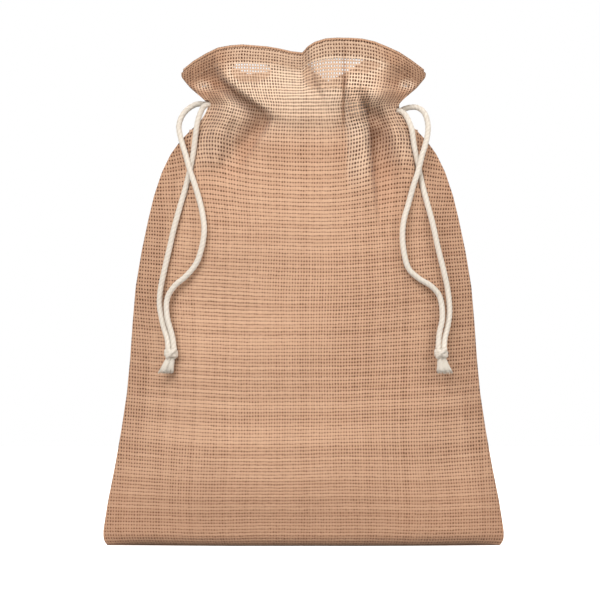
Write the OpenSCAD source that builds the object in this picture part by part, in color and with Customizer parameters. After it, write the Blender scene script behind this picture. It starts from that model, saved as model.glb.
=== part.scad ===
// Woven drawstring pouch standing on its base: two cloth panels with a gathered neck,
// a sewn channel that holds two cords, and the two knotted cord ends that hang at the front.
// Front is -Y, right is +X, the floor is z = 0, millimetres.

/* [Pouch] */
// Width across the bottom edge
body_w = 249; // [240:1:258]
// Height from the floor to the top of the ruffle
body_h = 315; // [309:1:321]
// Depth of the filled belly inside the cloth
belly_d = 64; // [56:1:72]
// Thickness of the woven cloth
cloth_t = 1.2; // [1:0.1:1.3]

/* [Neck and ruffle] */
// Width of the gathered neck
neck_w = 117; // [116:0.5:119]
// Width of the ruffle from tip to tip
ruffle_w = 151; // [144:1:158]
// Height of the two ruffle tips above the floor
tip_z = 296; // [293:0.5:297]
// Width of the folded hem along the top edge
hem_w = 9; // [7:0.5:10]

/* [Channel] */
// Room for the cords between the panel and the channel strip
channel_gap = 4.6; // [4.4:0.1:4.8]
// Thickness of the strip sewn inside each panel
strip_t = 0.6; // [0.4:0.1:0.6]

/* [Seams] */
// Width of the seam allowance turned inside at each side
allowance_w = 12; // [8:0.5:13]
// Thickness of the sewing thread
thread_d = 0.8; // [0.5:0.1:0.8]

/* [Drawstrings] */
// Thickness of the twisted cord
cord_d = 3.4; // [3:0.1:3.5]
// Height of the middle of the channel
channel_z = 272; // [271.5:0.1:272.5]
// Diameter of each end knot
knot_d = 8.6; // [8:0.1:9]
// Length of the cut ends below each knot
tuft_len = 9.5; // [7:0.5:11]

/* [Hidden] */

jute = "#cfa078";
jute_inside = "#b98a63";
cotton = "#f3ecdf";
thread_colour = "#d9b48c";

half_base = body_w / 2;
half_neck = neck_w / 2;
half_ruffle = ruffle_w / 2;
half_belly = belly_d / 2;

// Heights of the straight band that the channel sits in, and of the start of the shoulder
band_low = channel_z - 6;
band_high = channel_z + 6;
ruffle_lift = body_h - tip_z;

// Half width of the silhouette at each height
width_profile = [
    [0, half_base], [8, half_base], [30, 0.976 * half_base], [60, 0.928 * half_base],
    [95, 0.882 * half_base], [130, 0.856 * half_base], [165, 0.835 * half_base],
    [195, 0.789 * half_base], [218, 0.744 * half_base], [236, 0.69 * half_base],
    [250, 0.62 * half_base], [259, 0.55 * half_base], [band_low, half_neck],
    [band_high, half_neck], [band_high + 8, 0.92 * half_ruffle], [tip_z, half_ruffle],
];
// How far the middle of a panel bulges out past its side edges at each height
bulge_profile = [
    [0, 0.8 * half_belly], [8, 0.88 * half_belly], [30, 0.98 * half_belly],
    [60, half_belly], [95, 0.98 * half_belly], [130, 0.93 * half_belly],
    [165, 0.86 * half_belly], [195, 0.77 * half_belly], [218, 0.67 * half_belly],
    [236, 0.57 * half_belly], [250, 12.5], [259, 9], [band_low, 7], [band_high, 7],
    [band_high + 8, 13], [tip_z, 21],
];
// Half the space between the two panels at their side edges, open at the channel for the cords
edge_profile = [
    [0, 0.9], [250, 0.9], [258, 2], [band_low, 5.6], [band_high, 5.6],
    [band_high + 8, 0.9], [tip_z, 0.9],
];
// 0 where the panel is a round belly, 1 where it is drawn into the flat-ended neck
gather_profile = [[200, 0], [band_low - 2, 1], [band_high + 2, 1], [tip_z, 0]];

// Heights at which the panel grid has a row, after the row on the bottom fold
fold_row = -1;
panel_rows = [
    fold_row, 0, 8, 30, 60, 95, 130, 165, 195, 218, 236, 250, 259, band_low, band_high,
    band_high + 8, tip_z,
];
panel_columns = 28;

// Share of half the neck width over which the neck narrows from its full depth to its flat ends
neck_middle = 0.1;
neck_end = 0.51;

function eased(t) = let (s = min(max(t, 0), 1)) s * s * (3 - 2 * s);
function half_width(z) = lookup(z, width_profile);
function belly_shape(u) = 1 - pow(abs(u), 3);
function neck_shape(u) = 1 - eased((abs(u) - neck_middle) / (neck_end - neck_middle));
function bulge_share(u, z) =
    let (g = lookup(z, gather_profile)) (1 - g) * belly_shape(u) + g * neck_shape(u);
// Distance from the middle plane to the inside of a panel
function inside_y(u, z) = lookup(z, edge_profile) + lookup(z, bulge_profile) * bulge_share(u, z);
// Height of the top edge above the channel band, and how much of it each column rises
function header_height(u) = tip_z - band_high + ruffle_lift * (1 - u * u);
function rise(u, z) =
    ruffle_lift * (1 - u * u) * min(max((z - band_high) / (tip_z - band_high), 0), 1);
// A point on the front panel: u runs -1 to 1 from side to side, in_from is the distance in
// from the outer face
function cloth(u, z, in_from) = z == fold_row
    ? [u * half_width(0), 0, in_from]
    : [u * half_width(z), -inside_y(u, z) - cloth_t + in_from, max(z, in_from) + rise(u, z)];
// The panel height whose distance below the top edge is d
function below_rim(u, d) = tip_z - (tip_z - band_high) * d / header_height(u);

function span(low, high, count) = [for (i = [0:count]) low + (high - low) * i / count];
function flat_list(rows) = [for (row = rows) each row];

// A closed sheet between two point grids of the same size
module sheet_solid(outer, inner) {
    columns = len(outer) - 1;
    rows = len(outer[0]) - 1;
    count = (columns + 1) * (rows + 1);
    function at(i, j) = i * (rows + 1) + j;
    function pair(a, b, c, d) = [[a, b, c], [a, c, d]];
    faces = concat(
        [for (i = [0:columns - 1], j = [0:rows - 1])
            each pair(at(i, j), at(i, j + 1), at(i + 1, j + 1), at(i + 1, j))],
        [for (i = [0:columns - 1], j = [0:rows - 1])
            each pair(count + at(i, j), count + at(i + 1, j),
                count + at(i + 1, j + 1), count + at(i, j + 1))],
        [for (i = [0:columns - 1])
            each pair(at(i, 0), at(i + 1, 0), count + at(i + 1, 0), count + at(i, 0))],
        [for (i = [0:columns - 1])
            each pair(at(i + 1, rows), at(i, rows), count + at(i, rows), count + at(i + 1, rows))],
        [for (j = [0:rows - 1])
            each pair(at(0, j + 1), at(0, j), count + at(0, j), count + at(0, j + 1))],
        [for (j = [0:rows - 1])
            each pair(at(columns, j), at(columns, j + 1),
                count + at(columns, j + 1), count + at(columns, j))]
    );
    polyhedron(points = concat(flat_list(outer), flat_list(inner)), faces = faces);
}

// A round tube along a route; the reference direction is never along the route
module tube(route, d, sides, reference) {
    last = len(route) - 1;
    function unit(v) = v / norm(v);
    function ahead(i) = unit(route[min(i + 1, last)] - route[max(i - 1, 0)]);
    function ring(i) =
        let (
            along = ahead(i),
            across = unit(cross(along, reference)),
            up = cross(across, along)
        )
        [for (k = [0:sides - 1])
            route[i] + d / 2 * (cos(360 * k / sides) * across + sin(360 * k / sides) * up)];
    faces = concat(
        [[for (k = [0:sides - 1]) k]],
        [for (i = [0:last - 1], k = [0:sides - 1]) let (n = (k + 1) % sides, a = i * sides)
            each [[a + k, a + sides + k, a + sides + n], [a + k, a + sides + n, a + n]]],
        [[for (k = [sides - 1:-1:0]) last * sides + k]]
    );
    polyhedron(points = [for (i = [0:last]) each ring(i)], faces = faces);
}

module mirrored_y(on) {
    if (on) mirror([0, 1, 0]) children();
    else children();
}

// ---- Cloth ----

module panel() {
    us = span(-1, 1, panel_columns);
    sheet_solid(
        [for (u = us) [for (z = panel_rows) cloth(u, z, 0)]],
        [for (u = us) [for (z = panel_rows) cloth(u, z, cloth_t)]]
    );
}

module front_panel() {
    color(jute) panel();
}

module back_panel() {
    color(jute) mirrored_y(true) panel();
}

// The turned-in edge lies this far inside its panel
layer_gap = 0.3;
hem_columns = 24;
hem_reach = 0.94;
hem_steps = span(0.4, hem_w, 3);

module top_hem() {
    us = span(-hem_reach, hem_reach, hem_columns);
    near = cloth_t + layer_gap;
    far = near + strip_t;
    sheet_solid(
        [for (u = us) [for (d = hem_steps) cloth(u, below_rim(u, hem_w + 0.4 - d), near)]],
        [for (u = us) [for (d = hem_steps) cloth(u, below_rim(u, hem_w + 0.4 - d), far)]]
    );
}

module front_top_hem() {
    color(jute) top_hem();
}

module back_top_hem() {
    color(jute) mirrored_y(true) top_hem();
}

// Each channel strip stands off its panel in the middle and meets it at its two sewn edges.
// It stops short of the side seams, where the cords cross over.
strip_half_w = 43;
strip_columns = 20;
strip_rows = [
    [band_low - 4, 0], [band_low, 1], [channel_z, 1], [band_high, 1],
    [band_high + 4, 0],
];

module channel_strip() {
    xs = span(-strip_half_w, strip_half_w, strip_columns);
    function standoff(row) = cloth_t + layer_gap + (channel_gap - layer_gap) * row[1];
    sheet_solid(
        [for (x = xs) [for (row = strip_rows) cloth(x / half_neck, row[0], standoff(row))]],
        [for (x = xs) [for (row = strip_rows)
            cloth(x / half_neck, row[0], standoff(row) + strip_t)]]
    );
}

module front_channel_strip() {
    color(jute_inside) channel_strip();
}

module back_channel_strip() {
    color(jute_inside) mirrored_y(true) channel_strip();
}

// The seam allowance is the pair of cut edges turned inside along each side
allowance_inset = 2.5;
allowance_gap = 0.8;
allowance_rows = [10, 30, 60, 95, 130, 165, 195, 218, 236, 246];

module seam_allowance(side) {
    near = cloth_t + allowance_gap;
    insets = side * span(allowance_w, allowance_inset, 3);
    ordered = side > 0 ? insets : [for (i = [len(insets) - 1:-1:0]) insets[i]];
    function share(inset, z) = side - inset / half_width(z);
    sheet_solid(
        [for (inset = ordered) [for (z = allowance_rows) cloth(share(inset, z), z, near)]],
        [for (inset = ordered) [for (z = allowance_rows)
            cloth(share(inset, z), z, near + strip_t)]]
    );
}

module left_seam_allowance() {
    color(jute_inside) seam_allowance(-1);
}

module right_seam_allowance() {
    color(jute_inside) seam_allowance(1);
}

// ---- Thread ----

thread_sides = 6;
seam_inset = 0.8;
lower_seam_rows = [6, 30, 60, 95, 130, 165, 195, 218, 236, 246, 252];
upper_seam_rows = [tip_z - 7, tip_z - 4, tip_z - 1.5];

module side_stitching(side) {
    function seam(rows) = [for (z = rows) [side * (half_width(z) - seam_inset), 0, z]];
    tube(seam(lower_seam_rows), thread_d, thread_sides, [0, 1, 0]);
    tube(seam(upper_seam_rows), thread_d, thread_sides, [0, 1, 0]);
}

module left_side_stitching() {
    color(thread_colour) side_stitching(-1);
}

module right_side_stitching() {
    color(thread_colour) side_stitching(1);
}

// Stitch rows lie on the outer face of the cloth
stitch_d = 0.5;
stitch_out = -1.8;
stitch_columns = 24;

module hem_stitching() {
    us = span(-hem_reach, hem_reach, stitch_columns);
    tube([for (u = us) cloth(u, below_rim(u, hem_w - 1), stitch_out)],
        stitch_d, thread_sides, [0, 0, 1]);
}

module front_hem_stitching() {
    color(thread_colour) hem_stitching();
}

module back_hem_stitching() {
    color(thread_colour) mirrored_y(true) hem_stitching();
}

module channel_stitching() {
    us = span(-0.9, 0.9, stitch_columns);
    for (z = [strip_rows[0][0] + 1, strip_rows[4][0] - 1])
        tube([for (u = us) cloth(u, z, stitch_out)], stitch_d, thread_sides, [0, 0, 1]);
}

module front_channel_stitching() {
    color(thread_colour) channel_stitching();
}

module back_channel_stitching() {
    color(thread_colour) mirrored_y(true) channel_stitching();
}

// Bar tacks close the side seam just above and just below the opening for the cords
tack = [3, 1.2, 3];
lower_tack_z = band_low - 9.5;
upper_tack_z = band_high + 8;

module opening_tacks(side) {
    for (z = [lower_tack_z, upper_tack_z])
        translate([side * (half_width(z) - tack[0]), 0, z])
            cube(tack, center = true);
}

module left_opening_tacks() {
    color(thread_colour) opening_tacks(-1);
}

module right_opening_tacks() {
    color(thread_colour) opening_tacks(1);
}

// ---- Drawstrings ----
// Each cord runs all round the channel and has both ends at its own side: the left cord
// in the upper half of the channel and the right cord in the lower half.

cord_sides = 8;
cord_spacing = 4;
cord_in = cloth_t + channel_gap / 2;
// The straight stretch that slides out of the opening, and where the cord turns back
opening_x = 58;
straight_x = 30;
turn_x = 45;
turn_steps = 6;

function left_z() = channel_z + cord_spacing / 2;
function right_z() = channel_z - cord_spacing / 2;
function cord_y(x) = cloth(x / half_neck, channel_z, cord_in)[1];

module cord_loop(side, z) {
    xs = span(-straight_x + 0.6, turn_x, 14);
    reach = -cord_y(turn_x);
    front = [for (x = xs) [side * x, cord_y(x), z]];
    turn = [for (i = [1:turn_steps - 1]) let (a = 180 * i / turn_steps)
        [side * (turn_x + reach * sin(a)), -reach * cos(a), z]];
    back = [for (i = [len(xs) - 1:-1:0]) [side * xs[i], -cord_y(xs[i]), z]];
    tube(concat(front, turn, back), cord_d, cord_sides, [0, 0, 1]);
}

module left_cord_loop() {
    color(cotton) cord_loop(1, left_z());
}

module right_cord_loop() {
    color(cotton) cord_loop(-1, right_z());
}

module channel_cord(side, z) {
    for (y = [-1, 1] * cord_y(opening_x))
        tube([for (x = span(straight_x, opening_x, 4)) [side * x, y, z]],
            cord_d, cord_sides, [0, 0, 1]);
}

module left_channel_cord() {
    color(cotton) channel_cord(-1, left_z());
}

module right_channel_cord() {
    color(cotton) channel_cord(1, right_z());
}

// Routes of the four free strands, from the opening in the side seam down to the knot
left_front_route = [
    [-60, -3.3, 274], [-63, -4.5, 271], [-65.8, -7.5, 263], [-67.2, -8.5, 253], [-68.5, -9, 243],
    [-70.5, -10.5, 233], [-73.5, -13, 221], [-77, -15, 209], [-80.5, -16.5, 196],
    [-83, -17, 185], [-86, -17, 172], [-88.5, -17, 160], [-89.2, -17.5, 149],
    [-87, -19.5, 137], [-84.4, -22, 128.5], [-83.8, -24, 122],
];
left_back_route = [
    [-60, 3.3, 274], [-67, 2.5, 274], [-74, 0.5, 269], [-77.4, -2.5, 261], [-76, -6, 252],
    [-73, -10.5, 242], [-70.5, -14.5, 233], [-66.5, -17.5, 221], [-63, -20.5, 208],
    [-61.5, -24, 196], [-63, -25, 185], [-66.5, -25, 175], [-73, -24, 167],
    [-80, -22, 161], [-84.5, -20.5, 153], [-84.5, -21.5, 142], [-81.3, -23.2, 130],
    [-80.2, -24, 122],
];
right_front_route = [
    [60, -3.3, 270], [63.5, -4.5, 267], [67, -8.5, 259], [68.5, -9, 249], [70.5, -9.8, 239],
    [73, -11.5, 227], [76, -14.2, 215], [80, -16.5, 200], [83.5, -17, 184], [87, -17, 170],
    [89.5, -16.5, 158], [90.5, -17, 146], [89.5, -18.5, 137], [87.6, -21, 129],
    [87, -24, 122],
];
right_back_route = [
    [60, 3.3, 270], [65, 3, 272], [71, 1.5, 272], [75.5, -0.5, 268], [77.4, -3, 260],
    [76.2, -7.5, 251], [73.5, -13, 242], [71, -16, 232], [68, -17.5, 223],
    [65, -19, 212], [61.8, -23.5, 200], [61.5, -25.5, 187], [64.5, -26, 173],
    [71, -25, 166], [79, -22.5, 161], [84.5, -20.5, 154], [86, -21, 142],
    [84, -22.5, 131], [83.4, -24, 122],
];

module strand(route) {
    color(cotton) tube(route, cord_d, cord_sides, [0, 1, 0]);
}

module left_front_strand() {
    strand(left_front_route);
}

module left_back_strand() {
    strand(left_back_route);
}

module right_front_strand() {
    strand(right_front_route);
}

module right_back_strand() {
    strand(right_back_route);
}

// The knot is a short barrel with rounded rims
knot_h = 7;
knot_top = 122.8;
knot_round = 2.2;
left_knot_at = [-82, -24.5, knot_top - knot_h];
right_knot_at = [85.2, -24.5, knot_top - knot_h];

module knot(place) {
    color(cotton) translate(place) rotate_extrude($fn = 32) difference() {
        square([knot_d / 2, knot_h]);
        for (z = [0, knot_h])
            translate([knot_d / 2, z]) rotate(45)
                square(knot_round, center = true);
    }
}

module left_knot() {
    knot(left_knot_at);
}

module right_knot() {
    knot(right_knot_at);
}

// Two cut ends flare below each knot
tuft_angle = 14;
tuft_apart = 1.9;

module cut_ends(place) {
    color(cotton) translate(place)
        for (side = [-1, 1])
            translate([side * tuft_apart, 0, 0.2]) rotate([0, 180 - side * tuft_angle, 0])
                cylinder(h = tuft_len, d1 = 0.8 * cord_d, d2 = 1.15 * cord_d, $fn = 24);
}

module left_cut_ends() {
    cut_ends(left_knot_at);
}

module right_cut_ends() {
    cut_ends(right_knot_at);
}

front_panel();
back_panel();
front_top_hem();
back_top_hem();
front_channel_strip();
back_channel_strip();
left_seam_allowance();
right_seam_allowance();
left_side_stitching();
right_side_stitching();
front_hem_stitching();
back_hem_stitching();
front_channel_stitching();
back_channel_stitching();
left_cord_loop();
right_cord_loop();
left_opening_tacks();
right_opening_tacks();
left_channel_cord();
right_channel_cord();
left_front_strand();
left_back_strand();
right_front_strand();
right_back_strand();
left_knot();
right_knot();
left_cut_ends();
right_cut_ends();
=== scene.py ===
"""Looks of the woven drawstring pouch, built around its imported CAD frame. Lengths are in
millimetres until a mesh is made. The front is -Y, right is +X and the floor is z = 0."""
import math

import bpy
import numpy as np
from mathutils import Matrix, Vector


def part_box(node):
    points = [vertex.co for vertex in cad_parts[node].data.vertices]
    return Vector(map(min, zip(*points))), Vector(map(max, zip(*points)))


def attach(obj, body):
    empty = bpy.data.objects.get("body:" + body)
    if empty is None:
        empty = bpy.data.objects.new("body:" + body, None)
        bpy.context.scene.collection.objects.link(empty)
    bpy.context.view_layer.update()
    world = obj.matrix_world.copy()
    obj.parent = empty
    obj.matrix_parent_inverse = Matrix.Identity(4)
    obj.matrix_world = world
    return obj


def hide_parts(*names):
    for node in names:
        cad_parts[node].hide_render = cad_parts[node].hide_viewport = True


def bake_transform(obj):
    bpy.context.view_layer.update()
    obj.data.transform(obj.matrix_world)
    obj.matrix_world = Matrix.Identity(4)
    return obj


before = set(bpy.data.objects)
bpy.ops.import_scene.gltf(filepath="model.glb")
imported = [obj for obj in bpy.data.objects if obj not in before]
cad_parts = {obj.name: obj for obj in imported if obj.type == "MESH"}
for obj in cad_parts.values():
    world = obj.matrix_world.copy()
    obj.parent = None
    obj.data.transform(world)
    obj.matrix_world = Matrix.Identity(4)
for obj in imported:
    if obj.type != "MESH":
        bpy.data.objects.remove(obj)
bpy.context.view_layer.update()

MM = 0.001
SIDES = {"left": -1, "right": 1}
FACES = {"front": -1, "back": 1}


# ---- Camera, light and floor ----

# Metres the frame takes in at the middle plane of the pouch
FRAME_WIDTH = 0.373
CAMERA_AT = Vector((-0.0022, -6.0, 0.1524))


def make_camera():
    data = bpy.data.cameras.new("camera")
    data.lens = data.sensor_width * -CAMERA_AT.y / FRAME_WIDTH
    data.clip_end = 100
    camera = bpy.data.objects.new("camera", data)
    camera.location = CAMERA_AT
    camera.rotation_euler = (math.pi / 2, 0, 0)
    bpy.context.scene.collection.objects.link(camera)
    bpy.context.scene.camera = camera


def soft_sun(name, toward, strength, spread):
    """Even light from the direction of a point seen from the pouch."""
    data = bpy.data.lights.new(name, "SUN")
    data.energy = strength
    data.angle = math.radians(spread)
    light = bpy.data.objects.new(name, data)
    light.location = toward
    light.rotation_euler = Vector(toward).to_track_quat("Z", "Y").to_euler()
    bpy.context.scene.collection.objects.link(light)


AMBIENT = 0.55
WARM_AMBIENT = (1, 0.86, 0.74, 1)
# Direction it comes from, strength and spread in degrees
SUNS = {"key_light": ((-0.42, -1.0, 0.72), 2.55, 42),
        "fill_light": ((1.0, -0.9, 0.3), 1.35, 60),
        "back_light": ((0.3, 1.0, 0.7), 1.5, 50)}


def chosen_by_ray(tree, kind, otherwise, chosen):
    """A number that is chosen for one kind of ray and otherwise for the rest."""
    seen = tree.nodes.new("ShaderNodeLightPath").outputs[kind]
    number = tree.nodes.new("ShaderNodeMapRange")
    number.inputs["To Min"].default_value = otherwise
    number.inputs["To Max"].default_value = chosen
    tree.links.new(seen, number.inputs["Value"])
    return number.outputs["Result"]


def colour_mix(tree, share):
    """A node that mixes two colours by a share, as its two colour slots and its result."""
    node = tree.nodes.new("ShaderNodeMix")
    node.data_type = "RGBA"
    tree.links.new(share, node.inputs["Factor"])
    slots = [slot for slot in node.inputs if slot.type == "RGBA"]
    return slots, next(out for out in node.outputs if out.type == "RGBA")


def make_light():
    world = bpy.data.worlds.new("studio")
    world.use_nodes = True
    bpy.context.scene.world = world
    tree = world.node_tree
    background = tree.nodes["Background"]
    slots, mixed = colour_mix(tree, chosen_by_ray(tree, "Is Camera Ray", 0, 1))
    slots[0].default_value, slots[1].default_value = WARM_AMBIENT, (1, 1, 1, 1)
    tree.links.new(mixed, background.inputs["Color"])
    tree.links.new(chosen_by_ray(tree, "Is Camera Ray", AMBIENT, 1), background.inputs["Strength"])
    for name, sun in SUNS.items():
        soft_sun(name, *sun)
    bpy.context.scene.view_settings.view_transform = "Standard"


FLOOR_RADIUS, FLOOR_POINTS = 4.0, 64
FLOOR_SEEN, FLOOR_BOUNCED, FLOOR_GLOW = 0.93, 0.4, 0.45


def make_floor():
    """A white floor that throws less light back than it shows, as a cut-out backdrop does."""
    turns = np.linspace(0, 2 * math.pi, FLOOR_POINTS, endpoint=False)
    ring = [(FLOOR_RADIUS * math.cos(a), FLOOR_RADIUS * math.sin(a), 0) for a in turns]
    mesh = bpy.data.meshes.new("floor")
    mesh.from_pydata(ring, [], [list(range(FLOOR_POINTS))])
    floor = bpy.data.objects.new("floor", mesh)
    bpy.context.scene.collection.objects.link(floor)
    material = bpy.data.materials.new("floor")
    material.use_nodes = True
    tree = material.node_tree
    shader = tree.nodes["Principled BSDF"]
    tree.links.new(chosen_by_ray(tree, "Is Diffuse Ray", FLOOR_SEEN, FLOOR_BOUNCED),
                   shader.inputs["Base Color"])
    shader.inputs["Roughness"].default_value = 1
    shader.inputs["Specular IOR Level"].default_value = 0
    shader.inputs["Emission Color"].default_value = (1, 1, 1, 1)
    tree.links.new(chosen_by_ray(tree, "Is Camera Ray", 0, FLOOR_GLOW),
                   shader.inputs["Emission Strength"])
    mesh.materials.append(material)


# ---- Shader arithmetic ----


class Number:
    """A value on a node tree, so that a pattern reads as arithmetic."""

    def __init__(self, tree, socket):
        self.tree, self.socket = tree, socket

    def math(self, operation, *others, clamp=False):
        node = self.tree.nodes.new("ShaderNodeMath")
        node.operation = operation
        node.use_clamp = clamp
        for slot, value in zip(node.inputs, (self, *others)):
            give(self.tree, slot, value)
        return Number(self.tree, node.outputs[0])

    def __add__(self, other):
        return self.math("ADD", other)

    def __sub__(self, other):
        return self.math("SUBTRACT", other)

    def __mul__(self, other):
        return self.math("MULTIPLY", other)

    def __truediv__(self, other):
        return self.math("DIVIDE", other)

    __radd__, __rmul__ = __add__, __mul__

    def __rsub__(self, other):
        return self * -1 + other

    def floor(self):
        return self.math("FLOOR")

    def fract(self):
        return self.math("FRACT")

    def clamp(self):
        return self.math("ADD", 0, clamp=True)

    def ramp(self, low, high):
        """0 below low, 1 above high, eased in between."""
        node = self.tree.nodes.new("ShaderNodeMapRange")
        node.interpolation_type = "SMOOTHSTEP"
        self.tree.links.new(self.socket, node.inputs["Value"])
        give(self.tree, node.inputs["From Min"], low)
        give(self.tree, node.inputs["From Max"], high)
        return Number(self.tree, node.outputs["Result"])


def give(tree, slot, value):
    """Links a Number to an input, or sets the input to a plain number."""
    if isinstance(value, Number):
        tree.links.new(value.socket, slot)
    else:
        slot.default_value = value


class Shader:
    """A material with one Principled shader, and short ways to drive it."""

    def __init__(self, name, roughness, sheen):
        self.material = bpy.data.materials.new(name)
        self.material.use_nodes = True
        self.tree = self.material.node_tree
        self.principled = self.tree.nodes["Principled BSDF"]
        for key, value in (("Roughness", roughness), ("Sheen Weight", sheen),
                           ("Sheen Roughness", 0.6), ("Specular IOR Level", 0.15)):
            self.principled.inputs[key].default_value = value

    def attribute(self, name):
        """The three numbers of a vector attribute."""
        node = self.tree.nodes.new("ShaderNodeAttribute")
        node.attribute_name = name
        split = self.tree.nodes.new("ShaderNodeSeparateXYZ")
        self.tree.links.new(node.outputs["Vector"], split.inputs[0])
        return [Number(self.tree, out) for out in split.outputs]

    def vector(self, *parts):
        node = self.tree.nodes.new("ShaderNodeCombineXYZ")
        for slot, part in zip(node.inputs, parts):
            give(self.tree, slot, part)
        return node.outputs[0]

    def noise(self, vector, scale, detail=1.0):
        """Smooth noise between about -1 and 1."""
        node = self.tree.nodes.new("ShaderNodeTexNoise")
        node.inputs["Scale"].default_value = scale
        node.inputs["Detail"].default_value = detail
        self.tree.links.new(vector, node.inputs["Vector"])
        return (Number(self.tree, node.outputs["Fac"]) - 0.5) * 2.6

    def random(self, vector):
        node = self.tree.nodes.new("ShaderNodeTexWhiteNoise")
        self.tree.links.new(vector, node.inputs["Vector"])
        return Number(self.tree, node.outputs["Value"]) - 0.5

    def mix(self, share, low, high):
        """A colour between two colours or colour sockets."""
        slots, mixed = colour_mix(self.tree, share.socket)
        for slot, colour in zip(slots, (low, high)):
            if isinstance(colour, tuple):
                slot.default_value = (*colour, 1)
            else:
                self.tree.links.new(colour, slot)
        return mixed

    def colour(self, socket):
        self.tree.links.new(socket, self.principled.inputs["Base Color"])

    def alpha(self, number):
        self.tree.links.new(number.socket, self.principled.inputs["Alpha"])

    def bump(self, height, distance, strength=1.0):
        node = self.tree.nodes.new("ShaderNodeBump")
        node.inputs["Distance"].default_value = distance
        node.inputs["Strength"].default_value = strength
        self.tree.links.new(height.socket, node.inputs["Height"])
        self.tree.links.new(node.outputs["Normal"], self.principled.inputs["Normal"])


# ---- Materials ----

COLUMN_PITCH, ROW_PITCH = 1.65, 2.2
# The share of the mark for open cloth from which light comes through its holes
OPEN_FROM = 0.87
# Half the soft edge of a thread, as a share of the pitch
THREAD_EDGE = 0.06


def wandering(shader, across, up):
    """Cloth coordinates whose threads don't run quite straight."""
    flat = shader.vector(across, up, 0)
    across = across + shader.noise(flat, 0.012) * 2.0 + shader.noise(flat, 0.25) * 0.2
    shifted = shader.vector(up, across, 40)
    up = up + shader.noise(shifted, 0.010) * 2.2 + shader.noise(shifted, 0.22) * 0.2
    return across, up


def thread_across(from_middle, half):
    """How much of a thread is there, and how high its round back is, across the thread."""
    inside = 1 - from_middle.ramp(half - THREAD_EDGE, half + THREAD_EDGE)
    rounded = (1 - (from_middle / half).math("POWER", 2)).clamp()
    return inside, rounded


def yarn_colour(shader, across, up, spread, yarn, pale_yarn):
    """A colour between two yarns, with streaks along the rows and fine fibres."""
    streak = shader.noise(shader.vector(across * 0.15, up, 20), 0.35)
    fibre = shader.noise(shader.vector(across * 2.0, up * 9.0, 11), 0.6, detail=2)
    return shader.mix((spread + streak * 0.16 + fibre * 0.24 + 0.5).clamp(), yarn, pale_yarn)


def lit_by(painted_light_and_open):
    """How pale the yarn is for the light on it. Yarn round a bright hole isn't pale."""
    return (painted_light_and_open * 0.85 - (painted_light_and_open - OPEN_FROM).clamp() * 4).clamp()


def woven(name, yarn, pale_yarn, gap, openwork):
    """Plain weave in flat cloth millimetres. Attribute weave is across and up the cloth, and how
    loose the weave is. Attribute marks is how doubled, how open and painted light, and how much
    painted shade in its folds and towards the base the cloth has. The gap colour is painted
    shade, the dim inside seen through the holes."""
    shader = Shader(name, roughness=0.92, sheen=0.12)
    across, up, loose = shader.attribute("weave")
    doubled, painted_light_and_open, painted_shade = shader.attribute("marks")
    across, up = wandering(shader, across, up)
    patch = shader.noise(shader.vector(across, up, 90), 0.022, detail=2) * 0.7 - loose
    column, row = across / COLUMN_PITCH, up / ROW_PITCH
    column_id, row_id = column.floor(), row.floor()
    from_column = (column.fract() - 0.5).math("ABSOLUTE")
    from_row = (row.fract() - 0.5).math("ABSOLUTE")
    column_slub = shader.random(shader.vector(column_id, 3, 0)) * 0.1
    row_slub = shader.random(shader.vector(5, row_id, 0)) * 0.1
    thick = shader.noise(shader.vector(across * 0.4, up * 0.4, 7), 1.0) * 0.08
    cell = shader.random(shader.vector(column_id, row_id, 9))
    dense, airy = patch.clamp(), (0 - patch).clamp()
    column_half = 0.28 + column_slub + thick + cell * 0.06 + dense * 0.17 - painted_light_and_open * 0.03
    row_half = 0.33 + row_slub + thick - airy * 0.05 - painted_light_and_open * 0.1
    in_column, column_round = thread_across(from_column, column_half)
    in_row, row_round = thread_across(from_row, row_half)
    hole = (1 - in_column) * (1 - in_row)
    # -1 where the row passes over the column, and 1 where it passes under
    turn = ((column_id + row_id) * 0.5).fract() * 4 - 1
    column_up = column_round * (1 + turn * 0.45) * 0.5
    row_up = row_round * (1 - turn * 0.45) * 0.36
    height = column_up.math("MAXIMUM", row_up)

    # Painted shade: the holes and the gaps between threads take the colour of the shaded inside
    depth = 1.05 - dense * 0.25 + cell * 0.4
    painted_gap_shade = (hole * depth + (1 - in_row) * (dense * 0.42 + 0.05 + row_slub)
            + (1 - in_column) * 0.1).clamp()
    spread = patch * 0.14 + row_slub * 3 + column_slub * 1.2
    body = yarn_colour(shader, across, up, spread, yarn, pale_yarn)
    body = shader.mix((doubled * 0.22).clamp(), body, doubled_tone(yarn))
    # Painted light: paler yarn where light falls on the ruffle and round holes that light comes
    # through
    body = shader.mix(lit_by(painted_light_and_open), body, LIT_YARN)
    body = shader.mix(painted_gap_shade, body, gap)
    # Painted shade in the hollows of the folds and towards the base
    shader.colour(shader.mix((painted_shade * 0.5).clamp(), body, PAINTED_SHADE_COLOUR))
    if openwork:
        shader.alpha(1 - (hole * (painted_light_and_open - OPEN_FROM) * 8).clamp())
    shader.bump(height, 0.0005, 0.7)
    return shader.material


def doubled_tone(yarn):
    """The deeper, browner tone of a yarn where two layers lie together."""
    return tuple(part * share for part, share in zip(yarn, DOUBLED_SHARES))


def cotton(name, pale, shaded, fuzz):
    """Twisted cotton: attribute lay is along the cord in millimetres, round it in turns, and how
    deep the point lies in a groove."""
    shader = Shader(name, roughness=0.85, sheen=fuzz)
    along, around, groove = shader.attribute("lay")
    fibre = shader.noise(shader.vector(along * 0.6, around * 24, 0), 1.4, detail=2)
    patch = shader.noise(shader.vector(along * 0.1, around, 5), 1.0)
    # Painted shade in the grooves between the plies, with random fibre tone
    groove_shade_and_fibre_tone = (groove * 0.42 + fibre * 0.14 + patch * 0.08).clamp()
    shader.colour(shader.mix(groove_shade_and_fibre_tone, pale, shaded))
    shader.bump(fibre, 0.0002, 0.6)
    return shader.material


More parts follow.
